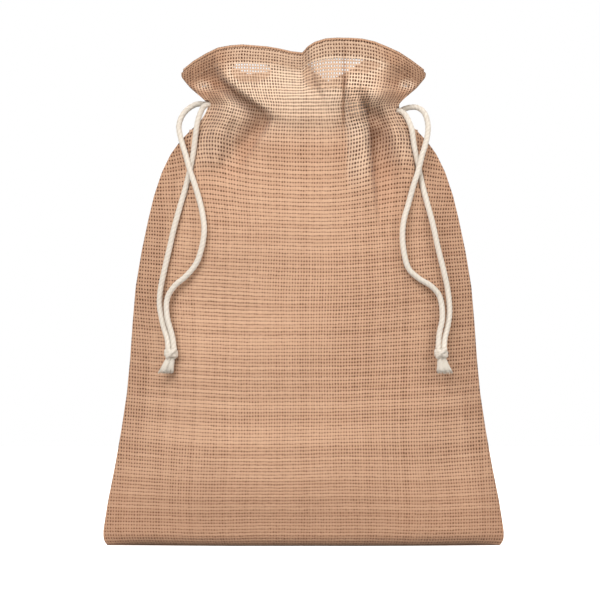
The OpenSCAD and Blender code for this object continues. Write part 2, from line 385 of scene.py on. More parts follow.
YARN, PALE_YARN = (0.44, 0.255, 0.158), (0.63, 0.41, 0.275)
HEM_YARN, PALE_HEM_YARN = (0.44, 0.255, 0.155), (0.56, 0.355, 0.235)
INSIDE_YARN, PALE_INSIDE_YARN = (0.40, 0.235, 0.145), (0.52, 0.33, 0.215)
THREAD, SHADED_THREAD = (0.66, 0.45, 0.31), (0.42, 0.26, 0.16)
CORD, SHADED_CORD = (0.72, 0.675, 0.60), (0.50, 0.43, 0.34)
DOUBLED_SHARES = (0.74, 0.64, 0.56)
# Painted shade: the dim inside of the pouch seen through the holes
GAP = (0.075, 0.024, 0.009)
LIT_YARN = (0.88, 0.69, 0.52)
PAINTED_SHADE_COLOUR = (0.25, 0.095, 0.04)


def make_materials():
    return {
        "jute_cloth": woven("jute_cloth", YARN, PALE_YARN, GAP, openwork=True),
        "jute_hem": woven("jute_hem", HEM_YARN, PALE_HEM_YARN, GAP, openwork=False),
        "jute_inside": woven("jute_inside", INSIDE_YARN, PALE_INSIDE_YARN, GAP, openwork=False),
        "sewing_thread": cotton("sewing_thread", THREAD, SHADED_THREAD, fuzz=0.1),
        "cotton_cord": cotton("cotton_cord", CORD, SHADED_CORD, fuzz=0.35),
    }


# ---- Meshes ----


def finish_mesh(name, points, faces, material, attributes, sharp=None):
    """A smooth mesh in metres, with its vector attributes on the points."""
    mesh = bpy.data.meshes.new(name)
    mesh.from_pydata((np.asarray(points) * MM).tolist(), [], faces)
    mesh.materials.append(material)
    for key, values in attributes.items():
        layer = mesh.attributes.new(key, "FLOAT_VECTOR", "POINT")
        layer.data.foreach_set("vector", np.asarray(values, np.float32).ravel())
    mesh.polygons.foreach_set("use_smooth", [True] * len(mesh.polygons))
    if sharp:
        mesh.set_sharp_from_angle(angle=math.radians(sharp))
    piece = bpy.data.objects.new(name, mesh)
    bpy.context.scene.collection.objects.link(piece)
    return piece


# Degrees between faces from which a shell's edge is drawn sharp
SHELL_CREASE = 55


def closed_faces(columns, rows, flip):
    """Faces between an outer and an inner grid, both columns by rows, and of the walls between."""
    at = np.arange(columns * rows).reshape(columns, rows)
    outer = np.stack([at[:-1, :-1], at[1:, :-1], at[1:, 1:], at[:-1, 1:]], -1).reshape(-1, 4)
    inner = outer[:, ::-1] + columns * rows
    border = np.concatenate([at[:, 0], at[-1, 1:], at[-2::-1, -1], at[0, -2:0:-1]])
    after = np.roll(border, -1)
    wall = np.stack([after, border, border + columns * rows, after + columns * rows], -1)
    faces = np.concatenate([outer, inner, wall])
    return (faces[:, ::-1] if flip else faces).tolist()


def listed(*grids):
    """The points of grids, one after another in one list."""
    return np.concatenate([grid.reshape(-1, 3) for grid in grids])


def shell(name, outer, inner, weave, marks, material, flip):
    """A closed mesh between an outer and an inner grid, which share their attributes."""
    faces = closed_faces(*outer.shape[:2], flip)
    attributes = {"weave": listed(weave, weave), "marks": listed(marks, marks)}
    return finish_mesh(name, listed(outer, inner), faces, material, attributes, sharp=SHELL_CREASE)


def unit(vectors):
    return vectors / np.linalg.norm(vectors, axis=-1, keepdims=True)


def frames_along(path):
    """Directions across and up at each point of a path, turning no more than they must."""
    along = unit(np.gradient(path, axis=0))
    across = np.zeros_like(path)
    start = np.cross(along[0], (0.2, 1, 0.1))
    across[0] = start / np.linalg.norm(start)
    for k in range(1, len(path)):
        kept = across[k - 1] - along[k] * (across[k - 1] @ along[k])
        across[k] = kept / np.linalg.norm(kept)
    return across, np.cross(along, across)


def distance_along(path):
    return np.concatenate([[0], np.cumsum(np.linalg.norm(np.diff(path, axis=0), axis=1))])


def resample(points, step):
    """The path as a smooth curve through its points, with even steps."""
    points = np.asarray(points, float)
    before, after = 2 * points[0] - points[1], 2 * points[-1] - points[-2]
    padded = np.concatenate([[before], points, [after]])
    fine = []
    for a, b, c, d in zip(padded, padded[1:], padded[2:], padded[3:]):
        t = np.linspace(0, 1, 12, endpoint=False)[:, None]
        fine.append(0.5 * (2 * b + (c - a) * t + (2 * a - 5 * b + 4 * c - d) * t**2
                           + (3 * b - a - 3 * c + d) * t**3))
    fine = np.concatenate([*fine, points[-1:]])
    distance = distance_along(fine)
    even = np.linspace(0, distance[-1], max(2, round(distance[-1] / step)) + 1)
    return np.stack([np.interp(even, distance, fine[:, k]) for k in range(3)], -1)


def tube_parts(path, radii, sides, plies=0, twist=9.0, groove=0.11):
    """Points, faces and lay of a tube. With plies it is twisted, with a groove between each two."""
    across, up = frames_along(path)
    distance = distance_along(path)
    turns = np.arange(sides) / sides
    angle = 2 * math.pi * turns[None, :]
    phase = angle - 2 * math.pi * distance[:, None] / twist
    depth = 1 - np.abs(np.cos(plies * phase / 2)) if plies else np.zeros_like(phase)
    depth = depth**1.5
    reach = np.asarray(radii)[:, None] * (1 - groove * depth)
    ring = across[:, None] * np.cos(angle)[..., None] + up[:, None] * np.sin(angle)[..., None]
    points = path[:, None] + ring * reach[..., None]
    lay = np.stack([np.broadcast_to(distance[:, None], phase.shape), np.cos(phase), depth], -1)
    count = len(path)
    at = np.arange(count * sides).reshape(count, sides)
    side = np.stack([at[:-1], np.roll(at[:-1], -1, 1), np.roll(at[1:], -1, 1), at[1:]], -1)
    faces = side.reshape(-1, 4).tolist() + [at[0][::-1].tolist(), at[-1].tolist()]
    return points.reshape(-1, 3), faces, lay.reshape(-1, 3)


def join_parts(name, parts, material):
    """One mesh of many tubes."""
    points, faces, lays, start = [], [], [], 0
    for part_points, part_faces, lay in parts:
        faces += [[start + k for k in face] for face in part_faces]
        points.append(part_points)
        lays.append(lay)
        start += len(part_points)
    return finish_mesh(name, np.concatenate(points), faces, material,
                       {"lay": np.concatenate(lays)})


# ---- Baking the neck's pieces in place ----


def gather(piece):
    """Bakes the piece's place into its mesh."""
    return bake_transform(piece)


# ---- Drawstrings ----

CORD_D = 3.4
ROUTES = {
    "left_front_strand": [
        (-60, -3.3, 274), (-63, -4.5, 271), (-65.8, -7.5, 263), (-67.2, -8.5, 253),
        (-68.5, -9, 243), (-70.5, -10.5, 233), (-73.5, -13, 221), (-77, -15, 209),
        (-80.5, -16.5, 196), (-83, -17, 185), (-86, -17, 172), (-88.5, -17, 160),
        (-89.2, -17.5, 149), (-87, -19.5, 137), (-84.4, -22, 128.5), (-83.8, -24, 122)],
    "left_back_strand": [
        (-60, 3.3, 274), (-67, 2.5, 274), (-74, 0.5, 269), (-77.4, -2.5, 261), (-76, -6, 252),
        (-73, -10.5, 242), (-70.5, -14.5, 233), (-66.5, -17.5, 221), (-63, -20.5, 208),
        (-61.5, -24, 196), (-63, -25, 185), (-66.5, -25, 175), (-73, -24, 167),
        (-80, -22, 161), (-84.5, -20.5, 153), (-84.5, -21.5, 142), (-81.3, -23.2, 130),
        (-80.2, -24, 122)],
    "right_front_strand": [
        (60, -3.3, 270), (63.5, -4.5, 267), (67, -8.5, 259), (68.5, -9, 249),
        (70.5, -9.8, 239), (73, -11.5, 227), (76, -14.2, 215), (80, -16.5, 200),
        (83.5, -17, 184), (87, -17, 170), (89.5, -16.5, 158), (90.5, -17, 146),
        (89.5, -18.5, 137), (87.6, -21, 129), (87, -24, 122)],
    "right_back_strand": [
        (60, 3.3, 270), (65, 3, 272), (71, 1.5, 272), (75.5, -0.5, 268), (77.4, -3, 260),
        (76.2, -7.5, 251), (73.5, -13, 242), (71, -16, 232), (68, -17.5, 223),
        (65, -19, 212), (61.8, -23.5, 200), (61.5, -25.5, 187), (64.5, -26, 173),
        (71, -25, 166), (79, -22.5, 161), (84.5, -20.5, 154), (86, -21, 142),
        (84, -22.5, 131), (83.4, -24, 122)],
}


def box_of(node):
    """A node's lowest and highest corners in millimetres."""
    return np.array(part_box(node)) / MM


def centre_of(node):
    low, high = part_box(node)
    return np.array((low + high) / 2) / MM


def cord_parts(path):
    """A twisted cord, a little thicker where its plies stand out, so that its mean is CORD_D."""
    return tube_parts(path, np.full(len(path), CORD_D / 2 * 1.04), 24, plies=3)


def knot_path(centre):
    """Two turns of cord round both strands."""
    turns, radius, low, high = 2.2, 2.75, -1.75, 1.75
    t = np.linspace(0, 1, 60)
    angle = 2 * math.pi * turns * t + 1.2
    coil = np.stack([radius * np.cos(angle), radius * 0.92 * np.sin(angle),
                     high + (low - high) * t], -1)
    return centre + coil


def make_knot(side, materials):
    centre = centre_of(f"{side}_knot")
    coil = knot_path(centre)
    parts = [tube_parts(coil, np.full(len(coil), 1.72), 20, plies=3, groove=0.14)]
    for shift in (-1.5, 1.5):
        core = np.array([centre + (shift, 0, z) for z in np.linspace(3.2, -3.4, 12)])
        parts.append(tube_parts(core, np.full(12, 1.45), 16, plies=3))
    tuck = resample([centre + p for p in ((-2.6, -2.2, -2.6), (-1.0, -3.9, -0.6),
                                          (1.2, -4.0, 1.2), (2.8, -2.2, 2.9))], 0.5)
    parts.append(tube_parts(tuck, np.full(len(tuck), 1.2), 16, plies=3))
    piece = join_parts(f"{side}_knot_wrap", parts, materials["cotton_cord"])
    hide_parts(f"{side}_knot")
    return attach(piece, f"{side}_tail")


FIBRES = 80
TUFT_LEAN = {"left": -0.34, "right": 0.22}


def make_cut_ends(side, materials, rng):
    """Two cut ends that lie together and whose plies have opened into a brush of fibres."""
    low, high = box_of(f"{side}_cut_ends")
    middle, top, length = (low + high) / 2, high[2] + 1.2, high[2] - low[2]
    parts = []
    for way in (-1, 1):
        root = np.array([middle[0] + way * 1.0, middle[1] + way * 0.4, top])
        lean = np.array([TUFT_LEAN[side] + way * 0.1, -0.03, -1.0])
        core = np.array([root + lean * t for t in np.linspace(0, length * 0.86, 10)])
        parts.append(tube_parts(core, np.linspace(1.5, 2.2, 10), 18, plies=3))
        for _ in range(FIBRES):
            angle, reach = rng.uniform(0, 2 * math.pi), 1.3 + 0.6 * rng.uniform(0, 1)
            out = np.array([math.cos(angle), math.sin(angle), 0]) * reach
            curl = rng.normal(0, 0.3, 3)
            long = length * rng.uniform(0.88, 1.06)
            t = np.linspace(0.3, 1, 7)[:, None]
            strand = root + lean * t * long + out * (0.8 + 0.7 * t**2) + curl * t**3
            parts.append(tube_parts(strand, np.linspace(0.30, 0.16, 7), 4))
    piece = join_parts(f"{side}_frayed_ends", parts, materials["cotton_cord"])
    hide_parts(f"{side}_cut_ends")
    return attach(piece, f"{side}_tail")


def make_strand(name, materials):
    """A free cord from its opening to the knot. It bends where it leaves the opening."""
    route = np.array(ROUTES[name], float)
    path = resample(route, 0.55)
    piece = join_parts(f"{name}_cord", [cord_parts(path)], materials["cotton_cord"])
    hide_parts(name)
    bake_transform(piece)
    (resample(route, 3.0) * MM).tolist()


CORD_Z = {"left": 274, "right": 270}
CHANNEL_Y, TURN_X, STRAIGHT_X = 3.3, 45, 30
# A loop's distance from the middle plane at the middle, half way out and further out
LOOP_SHARES = (1, 0.62, 0.4)


def loop_depth(side):
    """How far a loop lies from the middle plane at x = 0."""
    return box_of(f"{side}_cord_loop")[1, 1] - CORD_D / 2


def loop_path(side):
    """The stretch of cord that stays in the channel: along the front, round and back behind."""
    out, z = -SIDES[side], CORD_Z[side]
    middle, half_way, end = (-loop_depth(side) * share for share in LOOP_SHARES)
    front = [(out * x, middle if abs(x) < 8 else half_way if abs(x) < 20 else end, z)
             for x in (-29.4, -20, -12, -4, 4, 12, 20, 30, 38)]
    turn = [(out * (TURN_X + 4 * math.sin(a)), -CHANNEL_Y * math.cos(a), z)
            for a in np.linspace(0.25, math.pi - 0.25, 7)]
    back = [(x, -y, z) for x, y, z in front[::-1]]
    return resample(front + turn + back, 0.8)


def make_channel_cords(side, materials):
    """The two straight ends that slide out of an opening, and the loop that they come from."""
    parts = []
    for way in (-1, 1):
        ends = [(SIDES[side] * x, way * CHANNEL_Y, CORD_Z[side]) for x in (STRAIGHT_X, 45, 60.4)]
        parts.append(cord_parts(resample(ends, 0.55)))
    sliding = join_parts(f"{side}_cord_in_channel", parts, materials["cotton_cord"])
    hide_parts(f"{side}_channel_cord")
    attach(sliding, f"{side}_drawstring")
    path = loop_path(side)
    loop = join_parts(f"{side}_loop_in_channel",
                      [tube_parts(path, np.full(len(path), CORD_D / 2), 16, plies=3)],
                      materials["cotton_cord"])
    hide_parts(f"{side}_cord_loop")
    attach(loop, "pouch")


# ---- Cloth shape ----

TIP_Z = 296
BAND_LOW, BAND_HIGH = 266, 278
CLOTH_T = 1.1
HEM_T = 0.5
HEM_RADIUS = (CLOTH_T + 0.9) / 2


def eased(t):
    """0 below 0, 1 above 1, with a soft start and end."""
    s = np.clip(t, 0, 1)
    return s * s * (3 - 2 * s)


def between(z, start, rise, stop, fall):
    """1 from start + rise up to stop, and 0 below start and above stop + fall."""
    return eased((z - start) / rise) * (1 - eased((z - stop) / fall))


def profile(points, smooth):
    """A smooth line through (height, value) points."""
    heights = np.arange(-20, 340, 0.5)
    values = np.interp(heights, *zip(*points))
    count = math.ceil(8 * smooth)
    weights = np.exp(-((np.arange(-count, count + 1) / (2 * smooth)) ** 2) / 2)
    padded = np.pad(values, count, mode="edge")
    values = np.convolve(padded, weights / weights.sum(), "valid")
    return lambda z: np.interp(z, heights, values)


half_width = profile(
    [(0, 121.6), (1.5, 123.4), (4, 124.4), (9, 124.5), (27, 121.7), (49, 117.3), (72, 113.2),
     (94, 109.9), (116, 107.8), (139, 106.2), (161, 104.3), (183, 100.6), (202, 96.6), (217, 93),
     (232, 88), (243, 82.6), (251, 76.8), (258, 70.2), (263, 64.6), (267, 61.6), (271, 59.8),
     (274, 59), (277, 62), (285, 70.3), (290, 73.9), (293, 76), (TIP_Z, 76)], 1.0)
bulge = profile(
    [(0, 25), (8, 27.8), (30, 31.2), (60, 32), (95, 31.4), (130, 29.8), (165, 27.5), (195, 24.6),
     (218, 21.4), (236, 18.2), (250, 15.5), (259, 13), (BAND_LOW, 11), (BAND_HIGH, 11),
     (287, 12.5), (TIP_Z, 15)], 3.0)
edge_gap = profile(
    [(0, 0.1), (250, 0.1), (258, 1.6), (BAND_LOW, 5.4), (BAND_HIGH, 5.4), (287, 0.6),
     (TIP_Z, 0.1)], 1.2)
gathered = profile([(200, 0), (264, 1), (280, 1), (TIP_Z, 0)], 4.0)
# Width over which the flat cloth's columns are spread, half of it at each height
column_spread = profile(
    [(0, 121), (100, 108), (200, 97), (235, 84), (262, 63), (280, 63), (TIP_Z, 76)], 6.0)
# Height of the rim of the front and the back along the ruffle, from tip to tip
RIMS = {
    "front": ((-1, 295), (-0.9, 301), (-0.8, 305.4), (-0.7, 309), (-0.6, 310.4), (-0.5, 311),
              (-0.3, 309.8), (-0.2, 308.5), (-0.1, 306.8), (-0.01, 306), (0.03, 309.5),
              (0.09, 312.4), (0.18, 314.6), (0.28, 315.2), (0.38, 315.1), (0.48, 314.6),
              (0.58, 312.9), (0.68, 309.8), (0.78, 306.4), (0.88, 301.6), (1, 295)),
    "back": ((-1, 295), (-0.8, 301), (-0.62, 299), (-0.45, 293), (-0.28, 295), (-0.1, 303),
             (0, 303), (0.08, 295), (0.2, 288.5), (0.34, 294), (0.5, 302), (0.7, 304),
             (0.85, 300), (1, 295)),
}
# Each fold of the neck and ruffle: how sharp its left and its right flank is, and along its
# line the height, the middle, the reach to the left and right, and how far it stands forward
FOLDS = {
    "front": (
        # Deep fold under the right shoulder, with its sharp side on the flute
        (0.72, 0.0, ((188, 58, 12, 16, 0), (205, 55, 11, 15, -3), (225, 51.5, 9, 14, -7),
                     (250, 47.5, 7, 14, -14), (262, 45.5, 6, 13, -16), (268, 44, 6, 12, -12),
                     (273, 42, 6, 12, -6), (279, 41, 6, 11, 0))),
        # Flute between that fold and the pleat
        (0.35, 0.55, ((205, 37, 9, 9, 0), (225, 36.5, 9, 8, 2), (250, 34, 8, 6.5, 5),
                      (272, 31, 6, 5.5, 6), (284, 30.5, 5.5, 6, 5), (297, 30, 6, 7, 0))),
        # Narrow pleat
        (0.0, 0.0, ((255, 25.5, 2, 2, 0), (266, 25.5, 2, 2, -3), (285, 25.5, 1.8, 1.8, -4),
                    (300, 25.5, 1.8, 1.8, -2.6), (311, 25.5, 2, 2, -0.8))),
        # Rounded fold at the left of the right ruffle
        (0.62, 0.05, ((268, 19, 7.5, 14, 0), (276, 18.5, 7.5, 16, 2.5), (284, 15.5, 7.5, 18, 5),
                      (292, 12.5, 7.5, 18, 6), (300, 9.5, 7.5, 18, 6.5), (312, 8, 7.5, 18, 7))),
        # Trough that runs from the left ruffle in to the flap and back out over the shoulder
        (0.0, 0.45, ((224, -48, 13, 9, 0), (238, -43, 13, 10, -4), (250, -35.5, 13, 9, -8),
                     (258, -29, 14, 8, -10), (264, -26, 14, 8, -11), (270, -29, 12, 7, -10),
                     (277, -39, 9, 5, -11), (283, -47, 11, 5, -12), (289, -55, 13, 6, -10),
                     (296, -60, 14, 8, -4), (304, -62, 14, 9, 0))),
        # Flap beside it
        (0.5, 0.1, ((263, -17, 5, 9, 0), (270, -21, 6, 10, 4), (278, -30, 6, 13, 6),
                    (286, -40, 7, 15, 5.5), (297, -47, 9, 16, 3), (311, -48, 9, 16, 0))),
        # Left and right shoulder fans, under the cord openings
        (0.1, 0.35, ((232, -58, 9, 8, 0), (250, -54, 9, 8, 4), (263, -50, 9, 8, 6),
                    (272, -49, 8, 8, 5), (280, -53, 8, 8, 0))),
        (0.1, 0.1, ((232, 64, 7, 8, 0), (252, 60, 7, 6, 3), (264, 56.5, 6, 5, 3.5),
                    (272, 54, 6, 5, 0))),
        # Round bump over the right fold
        (0.3, 0.1, ((267, 50, 10, 9, 0), (274, 49, 12, 10, 6), (281, 47, 12, 10, 6),
                    (288, 44, 9, 9, 0))),
        # Hollow sides of the ruffle
        (0.1, 0.1, ((277, -64, 9, 9, 0), (284, -63, 11, 9, -8), (293, -66, 10, 8, 0))),
        (0.1, 0.1, ((280, 62, 9, 9, 0), (288, 60, 14, 12, -7), (298, 60, 12, 10, 0))),
    ),
    "back": (
        (0.3, 0.3, ((205, -41, 12, 12, 0), (232, -39, 11, 11, -4), (258, -37, 9, 9, -8),
                    (272, -36, 9, 9, -8), (288, -35, 9, 9, -3), (300, -34, 9, 9, 0))),
        (0.3, 0.3, ((210, 20, 11, 11, 0), (236, 18, 11, 11, -4), (258, 17, 9, 9, -7),
                    (272, 17, 8, 8, -7), (290, 18, 9, 9, -3), (303, 19, 9, 9, 0))),
        (0.3, 0.2, ((222, 50, 9, 9, 0), (250, 47, 9, 9, -5), (272, 43, 8, 8, -6),
                    (290, 44, 9, 9, 0))),
        (0.2, 0.2, ((230, -12, 10, 10, 0), (258, -10, 9, 9, 3), (280, -9, 9, 9, 4),
                    (306, -9, 12, 12, 3))),
        (0.2, 0.2, ((240, 33, 8, 8, 0), (262, 31, 7, 7, 3), (282, 31, 8, 8, 3.5),
                    (306, 32, 12, 12, 3))),
    ),
}


def fold_rise(x, z, fold):
    """How far a fold stands forward at a place."""
    flat_left, flat_right, line = fold
    height, *tracks = np.array(line, float).T
    middle, left, right, rise = (np.interp(z, height, track) for track in tracks)
    off = x - middle
    share = np.abs(off) / np.where(off < 0, left, right)
    flat = np.where(off < 0, flat_left, flat_right)
    return rise * (1 - eased((share - flat) / (1 - flat)))


def rolling(x, z, wavelength, seed):
    """Seeded smooth noise between about -1 and 1."""
    rng = np.random.default_rng(seed)
    total = np.zeros_like(x)
    for _ in range(7):
        angle, size = rng.uniform(0, math.pi), wavelength * rng.uniform(0.7, 1.5)
        phase = rng.uniform(0, 2 * math.pi)
        total += np.sin(2 * math.pi * (x * math.cos(angle) + z * math.sin(angle)) / size + phase)
    return total / 3.2


CORD_ROOM = CORD_D / 2 + 0.55
CORD_CENTRES = np.concatenate([resample(route, 1.0) for route in ROUTES.values()])


def clear_of_cords(x, z, forward):
    """Lets the cloth give way where a cord lies on it."""
    for cx, cy, cz in CORD_CENTRES:
        apart = (x - cx) ** 2 + (z - cz) ** 2
        near = apart < CORD_ROOM**2
        if near.any():
            limit = -cy - np.sqrt(CORD_ROOM**2 - apart[near])
            forward[near] = np.minimum(forward[near], limit)
    return forward


def share_of_bulge(u, z):
    """Share of the bulge that is left at u across the cloth."""
    loose = 1 - np.abs(u) ** np.where(z > BAND_HIGH, 7, 3)
    neck = 1 - eased((np.abs(u) - 0.7) / 0.3)
    tied = gathered(z)
    return (1 - tied) * loose + tied * neck


def softly_over(value, low, blur):
    """A value held above low, with a soft bend where it meets it."""
    return low + blur * np.logaddexp(0, (value - low) / blur)


# Heights over which the cords hold the neck apart and the side seams are open, as for between()
TIED, OPEN_SEAM = (252, 9, 281, 8), (257, 5, 280, 4)
# Depth in front of the middle that the cords need, and the share of the width sewn flat
CORD_SPACE, SEAM_SHARE = 6.7, 0.015


def forward_of(face, u, z_flat, z):
    """How far the outside of the cloth stands from the middle plane."""
    x = u * half_width(z_flat)
    rise = sum(fold_rise(x, z, fold) for fold in FOLDS[face])
    seed = 3 if face == "front" else 8
    side_fade = 1 - np.abs(u) ** 6
    sag = 1.3 * rolling(x, z, 90, seed) + 0.5 * rolling(x, z * 0.6, 34, seed + 1)
    wrinkle = gathered(z_flat) * 0.8 * rolling(x * 1.6, z * 0.35, 24, seed + 2)
    forward = CLOTH_T + edge_gap(z_flat) + bulge(z_flat) * share_of_bulge(u, z_flat)
    forward = forward + (rise + sag + wrinkle) * side_fade
    tied = between(z, *TIED) * eased((1.02 - np.abs(u)) / 0.06)
    forward = softly_over(forward, CLOTH_T + 0.1 + (CORD_SPACE - CLOTH_T) * tied, blur=0.35)
    seamed = eased((np.abs(u) - (1 - SEAM_SHARE)) / SEAM_SHARE)
    forward = forward + (CLOTH_T - forward) * (1 - between(z, *OPEN_SEAM)) * seamed
    if face == "front":
        forward = clear_of_cords(x, z, forward)
    return forward


BASE_ROUND = 9.0
BASE_ROWS, CORNER_ROWS, WALL_ROWS = 10, 8, 238
HALF_COLUMNS = 98


def hem_line(face, u):
    """Height at which the hem starts to turn over."""
    return np.interp(u, *zip(*RIMS[face])) - HEM_RADIUS - HEM_T


def header_share(z_flat):
    """0 at the top of the channel, 1 at the ruffle's tips."""
    return np.clip((z_flat - BAND_HIGH) / (TIP_Z - BAND_HIGH), 0, 1)


def raised(face, u, z_flat):
    """Height of a point of the cloth, with the ruffle's rim lifted between its tips."""
    return z_flat + (hem_line(face, u) - TIP_Z) * header_share(z_flat)


def wall(face, u, z_flat, inward):
    """A point of the cloth above the rounded base, that far in from its outside."""
    z = raised(face, u, z_flat)
    y = FACES[face] * (forward_of(face, u, z_flat, z) - inward)
    return np.stack([u * half_width(z_flat), y, z], -1)


def panel_grid(face, side, inward):
    """Points of one half of a panel, from the middle of the base up to the rim, with the u and
    the flat height of each. Heights on the base are negative: the way left to the floor line."""
    us = np.linspace(-1, 0, HALF_COLUMNS) if side == "left" else np.linspace(0, 1, HALF_COLUMNS)
    heights = np.linspace(BASE_ROUND, TIP_Z, WALL_ROWS)
    u, z_flat = np.meshgrid(us, heights, indexing="ij")
    upright = wall(face, u, z_flat, inward)
    column = us[:, None]
    start_z = np.full_like(column, BASE_ROUND)
    reach = forward_of(face, column, start_z, start_z)
    round_y = np.minimum(BASE_ROUND, 0.75 * reach)
    angle = np.linspace(0, math.pi / 2, CORNER_ROWS, endpoint=False)[None, :]
    share = np.linspace(0, 1, BASE_ROWS, endpoint=False)[None, :]
    y = np.concatenate([(reach - round_y) * share,
                        reach - round_y + (round_y - inward) * np.sin(angle)], 1)
    z = np.concatenate([0 * share + inward, BASE_ROUND - (BASE_ROUND - inward) * np.cos(angle)], 1)
    lower = np.stack([column * half_width(z - inward) + 0 * y, FACES[face] * y, z + 0 * y], -1)
    steps = np.linalg.norm(np.diff(np.concatenate([lower, upright[:, :1]], 1), axis=1), axis=2)
    below = BASE_ROUND - np.cumsum(steps[:, ::-1], 1)[:, ::-1]
    grid = np.concatenate([lower, upright], 1)
    return grid, column + 0 * grid[..., 0], np.concatenate([below, z_flat], 1)


# Flat height of the header above the channel
HEADER_H = 34.0
SHOULDER_X, SHOULDER_REACH, SHOULDER_RISE = 60.0, 17.0, 8.0
ROW_SAG = 5.0
# Heights over which the rows climb to the cord openings and sag, as for between()
CLIMB, SAG = (185, 75, 272, 10), (0, 60, 200, 60)
# Where the weave has worked looser or closer: middle x and z, reach in x and z, how loose
LOOSE_PATCHES = ((62, 150, 60, 80, 0.8), (-45, 140, 60, 85, -0.8), (10, 215, 34, 40, -0.6),
                 (0, 20, 120, 45, -0.8), (-55, 262, 16, 26, 0.9), (56, 262, 15, 26, 0.9),
                 (-26, 280, 14, 12, 0.9), (0, 304, 90, 22, 0.6), (-2, 283, 26, 16, -1.5))


def looseness(x, z):
    """How loose the weave is, from -1 to 1. It is looser beside the seam allowances."""
    total = sum(share * np.exp(-(((x - px) / rx) ** 2) - ((z - pz) / rz) ** 2)
                for px, pz, rx, rz, share in LOOSE_PATCHES)
    margin = eased((np.abs(x) - half_width(z) + 15) / 4) * eased((z - 40) / 40)
    return np.clip(total + 0.8 * margin, -1, 1)


def weave_at(u, z_flat):
    """Flat cloth coordinates: across the columns, and up. Rows climb to the cord openings and sag
    between them. The third number is how loose the weave is."""
    x = u * half_width(z_flat)
    drawn = np.exp(-(((np.abs(x) - SHOULDER_X) / SHOULDER_REACH) ** 2) / 2)
    climb = SHOULDER_RISE * drawn * between(z_flat, *CLIMB)
    sag = ROW_SAG * (1 - u**2) * between(z_flat, *SAG)
    up = np.minimum(z_flat, BAND_HIGH) + header_share(z_flat) * HEADER_H - climb + sag
    return np.stack([u * column_spread(z_flat), up, looseness(x, z_flat)], -1)


ALLOWANCE_W, HEM_W = 12.0, 9.5
# Height up to which the allowance shows, and height over which shade is painted towards the base
ALLOWANCE_TOP, BASE_SHADE_TO = 252, 75.0
# Where the single layer of the ruffle lets light through: middle x and z, reach in x and z
OPEN_PATCHES = ((-34, 294, 12, 6), (14, 295, 13, 13), (38, 299, 14, 5), (-62, 285, 5, 3.5),
                (64, 286, 5, 3.5))


def lit_share(x, z):
    """How much light the pale yarn catches: in the ruffle's middle, on the flute and the fans."""
    middle = eased((z - 242) / 42) * eased((56 - np.abs(x)) / 18)
    flute = eased((z - 215) / 25) * eased((290 - z) / 20) * eased((9 - np.abs(x - 34)) / 4)
    fans = eased((18 - np.abs(np.abs(x) - 56)) / 8) * eased((z - 230) / 18) * eased((280 - z) / 10)
    return 0.85 * middle + 0.5 * flute + 0.35 * fans


def marks_of(face, grid, u):
    """How doubled, how open and painted light, and how much painted shade the cloth has, over a
    grid.
    """
    x, _, z = np.moveaxis(grid, -1, 0)
    hem = eased((z - (hem_line(face, u) - HEM_W - 0.6)) / 1.2)
    from_side = half_width(np.minimum(z, TIP_Z)) * (1 - np.abs(u))
    turned_in = eased((ALLOWANCE_W + 0.7 - from_side) / 1.4) * (z < ALLOWANCE_TOP)
    channel = eased((z - 260.5) / 1.4) * eased((282.5 - z) / 1.4) * 0.2
    doubled = np.clip(hem + 0.45 * turned_in + channel, 0, 1)
    painted_light_and_open = sum(eased(1.35 - np.hypot((x - px) / rx, (z - pz) / rz))
                 for px, pz, rx, rz in OPEN_PATCHES)
    # Painted light: the lit share and the glow round the open patches
    painted_light_and_open = np.clip(lit_share(x, z) + painted_light_and_open * eased((z - 281) / 4), 0, 1) * (1 - 0.5 * hem)
    # Painted shade, darker in the hollows of the folds and towards the base
    folds = sum(fold_rise(x, z, fold) for fold in FOLDS[face])
    painted_fold_shade = 0.75 * np.clip(-folds / 15, 0, 1) ** 1.3
    painted_shade = 0.4 * (1 - eased(z / BASE_SHADE_TO))
    return np.stack([doubled, painted_light_and_open, np.clip(painted_fold_shade + painted_shade, 0, 1)], -1)


def make_panel(face, side, materials, on_cloth):
    outer, u, z_flat = panel_grid(face, side, 0.0)
    inner = panel_grid(face, side, CLOTH_T)[0]
    piece = shell(f"{face}_cloth_{side}", outer, inner, weave_at(u, z_flat),
                  marks_of(face, outer, u), materials["jute_cloth"], flip=face == "back")
    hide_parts(f"{face}_panel")
    gather(piece)


# ---- Hem, channel and seam allowance ----


def u_range(side, low, high, count):
    us = np.linspace(low, high, count)
    return us if side == "right" else -us[::-1]


def down_from_rim(face, u, drop):
    """Flat height of the points that lie that far below the rim."""
    rim = np.interp(u, *zip(*RIMS[face]))
    return TIP_Z - (TIP_Z - BAND_HIGH) * drop / (rim - BAND_HIGH)


def hem_turn(face, u, extra):
    """Points of the turned hem, from its outside over the rim and down inside the panel."""
    rim = wall(face, u, np.full_like(u, TIP_Z), 0.0)
    radius = HEM_RADIUS + extra
    rows = []
    for angle in np.linspace(0, math.pi, 8):
        out = HEM_RADIUS - radius * math.cos(angle)
        rows.append(rim + np.array([0, -FACES[face] * out, radius * math.sin(angle)]))
    for drop in np.linspace(1, HEM_W, 9):
        rows.append(wall(face, u, down_from_rim(face, u, drop), HEM_RADIUS + radius))
    return np.stack(rows, 1)


# How far out the hem, its thread and the channel's thread go
HEM_REACH, HEM_THREAD_REACH, CHANNEL_THREAD_REACH = 0.985, 0.94, 0.9


